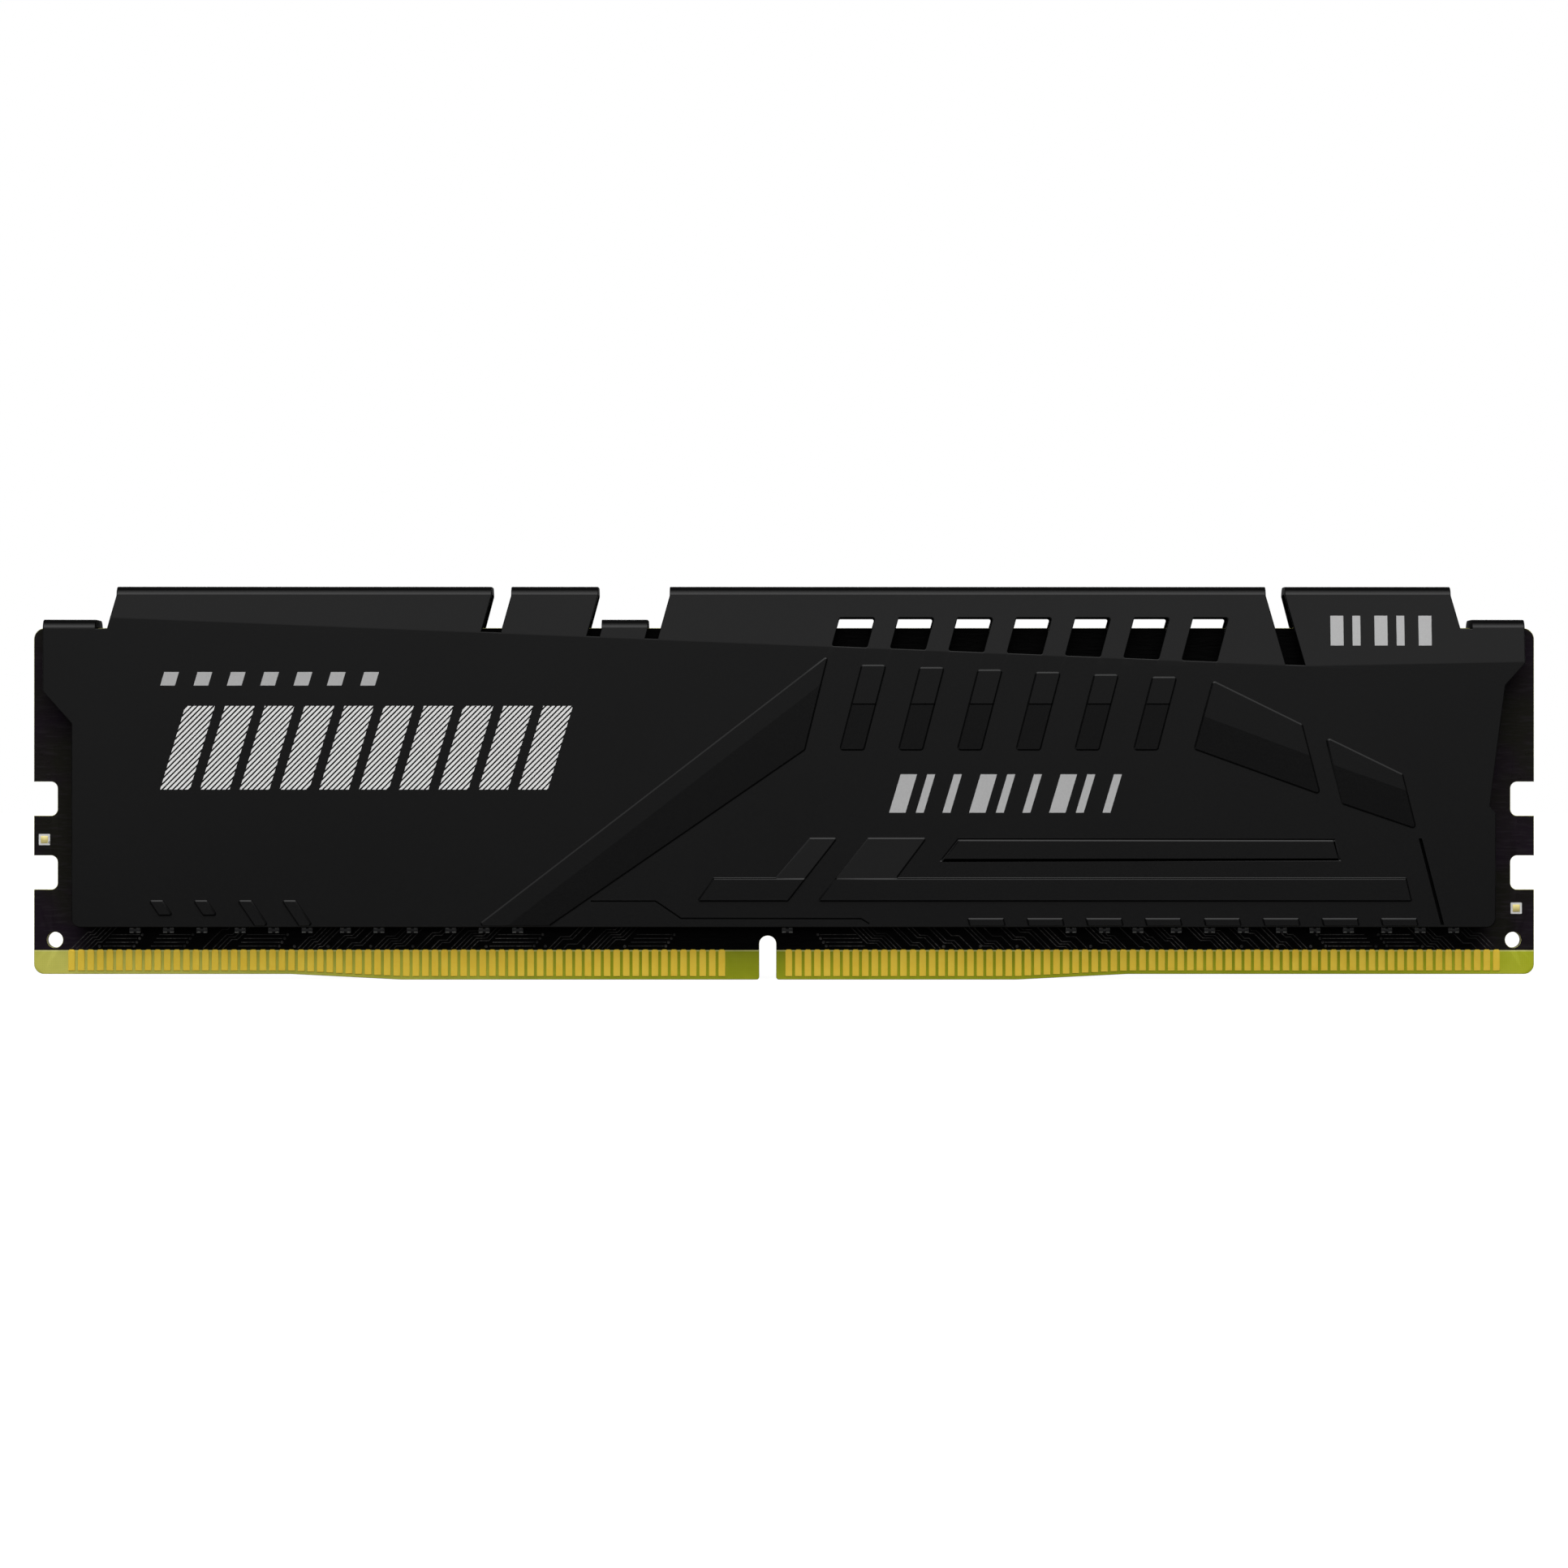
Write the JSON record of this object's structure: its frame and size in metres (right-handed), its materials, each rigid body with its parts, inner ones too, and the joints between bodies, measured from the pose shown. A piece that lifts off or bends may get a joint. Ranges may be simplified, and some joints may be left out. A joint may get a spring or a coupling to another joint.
{
  "type": "memory module",
  "caption": "Desktop memory module: notched circuit board with gold edge contacts inside a black two-part stamped heat spreader with slanted windows.",
  "frame": {"origin": "on the board's middle plane, halfway along the module, level with the lowest part of the contact edge", "axes": "+X along the module, +Z from the contact edge to the top of the spreader, the side with the chips faces -Y"},
  "size_m": [0.1334, 0.0066, 0.0349],
  "materials": {
    "solder_mask_board": "black solder mask over glass-fibre laminate, satin",
    "gold_plating": "gold-plated copper, bright",
    "chip_resin": "moulded epoxy, fine matte",
    "inductor_ferrite": "pressed ferrite, matte",
    "capacitor_ceramic": "fired ceramic with tinned ends",
    "resistor_ceramic": "ceramic chip with tinned ends",
    "thermal_pad_silicone": "soft filled silicone, matte",
    "spreader_coating": "stamped aluminium with black satin coating",
    "label_film": "plain label film, satin"
  },
  "bodies": {
    "root": {"circuit_board": "solder_mask_board", "contacts_front_left": "gold_plating", "contacts_front_right": "gold_plating", "contacts_back_left": "gold_plating", "contacts_back_right": "gold_plating", "camera_target_left": "gold_plating", "camera_target_right": "gold_plating", "memory_chip_1": "chip_resin", "memory_chip_2": "chip_resin", "memory_chip_3": "chip_resin", "memory_chip_4": "chip_resin", "memory_chip_5": "chip_resin", "memory_chip_6": "chip_resin", "memory_chip_7": "chip_resin", "memory_chip_8": "chip_resin", "power_management_chip": "chip_resin", "hub_chip": "chip_resin", "power_inductor_1": "inductor_ferrite", "power_inductor_2": "inductor_ferrite", "power_inductor_3": "inductor_ferrite", "bulk_capacitor_1": "capacitor_ceramic", "bulk_capacitor_2": "capacitor_ceramic", "bulk_capacitor_3": "capacitor_ceramic", "bulk_capacitor_4": "capacitor_ceramic", "bulk_capacitor_5": "capacitor_ceramic", "bulk_capacitor_6": "capacitor_ceramic", "edge_resistor_01": "resistor_ceramic", "edge_resistor_02": "resistor_ceramic", "edge_resistor_03": "resistor_ceramic", "edge_resistor_04": "resistor_ceramic", "edge_resistor_05": "resistor_ceramic", "edge_resistor_06": "resistor_ceramic", "edge_resistor_07": "resistor_ceramic", "edge_resistor_08": "resistor_ceramic", "edge_resistor_09": "resistor_ceramic", "edge_resistor_10": "resistor_ceramic", "edge_resistor_11": "resistor_ceramic", "edge_resistor_12": "resistor_ceramic", "edge_resistor_13": "resistor_ceramic", "edge_resistor_14": "resistor_ceramic", "edge_resistor_15": "resistor_ceramic", "edge_resistor_16": "resistor_ceramic", "edge_resistor_17": "resistor_ceramic", "edge_resistor_18": "resistor_ceramic", "edge_resistor_19": "resistor_ceramic", "edge_resistor_20": "resistor_ceramic", "edge_resistor_21": "resistor_ceramic", "edge_resistor_22": "resistor_ceramic", "edge_resistor_23": "resistor_ceramic", "edge_resistor_24": "resistor_ceramic", "edge_resistor_25": "resistor_ceramic", "thermal_pad_front_left": "thermal_pad_silicone", "thermal_pad_front_right": "thermal_pad_silicone", "thermal_pad_power": "thermal_pad_silicone", "thermal_pad_back_left": "thermal_pad_silicone", "thermal_pad_back_right": "thermal_pad_silicone", "heat_spreader_front": "spreader_coating", "heat_spreader_back": "spreader_coating", "back_label": "label_film"}
  },
  "joints": []
}
